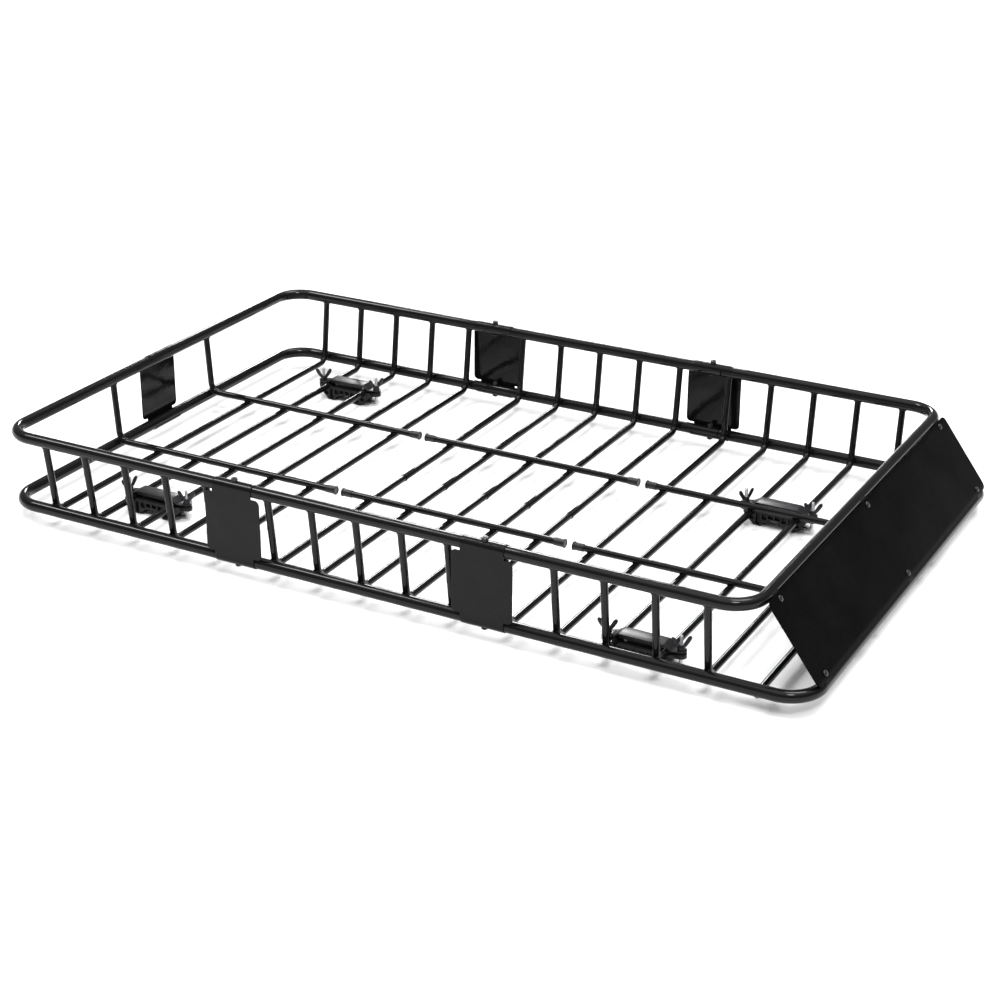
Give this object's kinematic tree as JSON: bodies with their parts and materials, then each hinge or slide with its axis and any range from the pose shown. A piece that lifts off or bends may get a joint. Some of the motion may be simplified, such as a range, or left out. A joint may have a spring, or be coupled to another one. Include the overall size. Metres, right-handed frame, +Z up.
{
  "type": "rooftop cargo basket",
  "caption": "Steel tube rooftop cargo basket with a sloping front fairing, bolted sections, and sliding saddle clamps with U-bolts and wing nuts.",
  "frame": {"origin": "middle of the basket's box on the surface it stands on", "axes": "+X towards the wind fairing, +Y across the basket, +Z up"},
  "size_m": [1.6266, 0.9822, 0.1921],
  "materials": {
    "rail_paint": "gloss black powder coat",
    "bar_paint": "gloss black powder coat",
    "plate_paint": "satin black powder coat",
    "fairing_paint": "gloss black powder coat",
    "clamp_paint": "satin black powder coat",
    "saddle_plastic": "moulded black",
    "cap_plastic": "moulded black",
    "black_fastener": "black oxide",
    "zinc_rod": "zinc plated"
  },
  "bodies": {
    "basket": {"rear_top_rail": "rail_paint", "rear_bottom_rail": "rail_paint", "front_top_rail": "rail_paint", "front_bottom_rail": "rail_paint", "middle_near_top_rail": "rail_paint", "middle_near_bottom_rail": "rail_paint", "middle_far_top_rail": "rail_paint", "middle_far_bottom_rail": "rail_paint", "rear_crossbars": "bar_paint", "front_crossbars": "bar_paint", "middle_near_crossbars": "bar_paint", "middle_far_crossbars": "bar_paint", "front_end_crossbar": "bar_paint", "rear_floor_bars": "bar_paint", "middle_near_floor_bar": "bar_paint", "middle_far_floor_bar": "bar_paint", "front_floor_bars": "bar_paint", "front_struts": "bar_paint", "floor_bar_caps": "cap_plastic", "joint_plate_rear_near": "plate_paint", "joint_plate_rear_far": "plate_paint", "joint_plate_front_near": "plate_paint", "joint_plate_front_far": "plate_paint", "joint_plate_rear_end": "plate_paint", "joint_bolts": "black_fastener", "joint_washers": "black_fastener", "joint_nuts": "black_fastener", "fairing_screws": "black_fastener", "fairing_nuts": "black_fastener", "fairing_panel": "fairing_paint", "fairing_tabs": "bar_paint"},
    "clamp_rear_far": {"clamp_plate_rear_far": "clamp_paint", "clamp_saddle_rear_far": "saddle_plastic", "clamp_washers_rear_far": "black_fastener"},
    "u_bolt_rear_far_body": {"u_bolt_rear_far": "zinc_rod"},
    "wing_nut_rear_rear_far_body": {"wing_nut_rear_rear_far": "black_fastener"},
    "wing_nut_front_rear_far_body": {"wing_nut_front_rear_far": "black_fastener"},
    "clamp_rear_near": {"clamp_plate_rear_near": "clamp_paint", "clamp_saddle_rear_near": "saddle_plastic", "clamp_washers_rear_near": "black_fastener"},
    "u_bolt_rear_near_body": {"u_bolt_rear_near": "zinc_rod"},
    "wing_nut_rear_rear_near_body": {"wing_nut_rear_rear_near": "black_fastener"},
    "wing_nut_front_rear_near_body": {"wing_nut_front_rear_near": "black_fastener"},
    "clamp_front_far": {"clamp_plate_front_far": "clamp_paint", "clamp_saddle_front_far": "saddle_plastic", "clamp_washers_front_far": "black_fastener"},
    "u_bolt_front_far_body": {"u_bolt_front_far": "zinc_rod"},
    "wing_nut_rear_front_far_body": {"wing_nut_rear_front_far": "black_fastener"},
    "wing_nut_front_front_far_body": {"wing_nut_front_front_far": "black_fastener"},
    "clamp_front_near": {"clamp_plate_front_near": "clamp_paint", "clamp_saddle_front_near": "saddle_plastic", "clamp_washers_front_near": "black_fastener"},
    "u_bolt_front_near_body": {"u_bolt_front_near": "zinc_rod"},
    "wing_nut_rear_front_near_body": {"wing_nut_rear_front_near": "black_fastener"},
    "wing_nut_front_front_near_body": {"wing_nut_front_front_near": "black_fastener"}
  },
  "joints": [
    {"name": "clamp_slide_rear_far", "type": "slide", "parent": "basket", "child": "clamp_rear_far", "axis": [0, 1, 0], "range_m": [-0.1625, 0.0615]},
    {"name": "wing_nut_rear_spin_rear_far", "type": "hinge", "parent": "clamp_rear_far", "child": "wing_nut_rear_rear_far_body", "pos_m": [-0.63529, 0.352, 0.04], "axis": [0, 0, 1], "range_deg": [0, 5765]},
    {"name": "wing_nut_front_spin_rear_far", "type": "hinge", "parent": "clamp_rear_far", "child": "wing_nut_front_rear_far_body", "pos_m": [-0.50129, 0.352, 0.04], "axis": [0, 0, 1], "range_deg": [0, 5765]},
    {"name": "u_bolt_drop_rear_far", "type": "slide", "parent": "clamp_rear_far", "child": "u_bolt_rear_far_body", "axis": [0, 0, 1], "range_m": [-0.016, 0]},
    {"name": "clamp_slide_rear_near", "type": "slide", "parent": "basket", "child": "clamp_rear_near", "axis": [0, 1, 0], "range_m": [-0.0835, 0.1405]},
    {"name": "wing_nut_rear_spin_rear_near", "type": "hinge", "parent": "clamp_rear_near", "child": "wing_nut_rear_rear_near_body", "pos_m": [-0.63529, -0.33, 0.04], "axis": [0, 0, 1], "range_deg": [0, 5765]},
    {"name": "wing_nut_front_spin_rear_near", "type": "hinge", "parent": "clamp_rear_near", "child": "wing_nut_front_rear_near_body", "pos_m": [-0.50129, -0.33, 0.04], "axis": [0, 0, 1], "range_deg": [0, 5765]},
    {"name": "u_bolt_drop_rear_near", "type": "slide", "parent": "clamp_rear_near", "child": "u_bolt_rear_near_body", "axis": [0, 0, 1], "range_m": [-0.016, 0]},
    {"name": "clamp_slide_front_far", "type": "slide", "parent": "basket", "child": "clamp_front_far", "axis": [0, 1, 0], "range_m": [-0.0025, 0.2215]},
    {"name": "wing_nut_rear_spin_front_far", "type": "hinge", "parent": "clamp_front_far", "child": "wing_nut_rear_front_far_body", "pos_m": [0.42185, 0.192, 0.04], "axis": [0, 0, 1], "range_deg": [0, 5765]},
    {"name": "wing_nut_front_spin_front_far", "type": "hinge", "parent": "clamp_front_far", "child": "wing_nut_front_front_far_body", "pos_m": [0.55585, 0.192, 0.04], "axis": [0, 0, 1], "range_deg": [0, 5765]},
    {"name": "u_bolt_drop_front_far", "type": "slide", "parent": "clamp_front_far", "child": "u_bolt_front_far_body", "axis": [0, 0, 1], "range_m": [-0.016, 0]},
    {"name": "clamp_slide_front_near", "type": "slide", "parent": "basket", "child": "clamp_front_near", "axis": [0, 1, 0], "range_m": [-0.0005, 0.2235]},
    {"name": "wing_nut_rear_spin_front_near", "type": "hinge", "parent": "clamp_front_near", "child": "wing_nut_rear_front_near_body", "pos_m": [0.42185, -0.413, 0.04], "axis": [0, 0, 1], "range_deg": [0, 5765]},
    {"name": "wing_nut_front_spin_front_near", "type": "hinge", "parent": "clamp_front_near", "child": "wing_nut_front_front_near_body", "pos_m": [0.55585, -0.413, 0.04], "axis": [0, 0, 1], "range_deg": [0, 5765]},
    {"name": "u_bolt_drop_front_near", "type": "slide", "parent": "clamp_front_near", "child": "u_bolt_front_near_body", "axis": [0, 0, 1], "range_m": [-0.016, 0]}
  ],
  "couplings": [
    {"joint": "wing_nut_front_spin_rear_far", "follows": "u_bolt_drop_rear_far", "rad_per_m": -6283.2},
    {"joint": "wing_nut_rear_spin_rear_far", "follows": "u_bolt_drop_rear_far", "rad_per_m": -6283.2},
    {"joint": "wing_nut_front_spin_rear_near", "follows": "u_bolt_drop_rear_near", "rad_per_m": -6283.2},
    {"joint": "wing_nut_rear_spin_rear_near", "follows": "u_bolt_drop_rear_near", "rad_per_m": -6283.2},
    {"joint": "wing_nut_front_spin_front_far", "follows": "u_bolt_drop_front_far", "rad_per_m": -6283.2},
    {"joint": "wing_nut_rear_spin_front_far", "follows": "u_bolt_drop_front_far", "rad_per_m": -6283.2},
    {"joint": "wing_nut_front_spin_front_near", "follows": "u_bolt_drop_front_near", "rad_per_m": -6283.2},
    {"joint": "wing_nut_rear_spin_front_near", "follows": "u_bolt_drop_front_near", "rad_per_m": -6283.2}
  ]
}
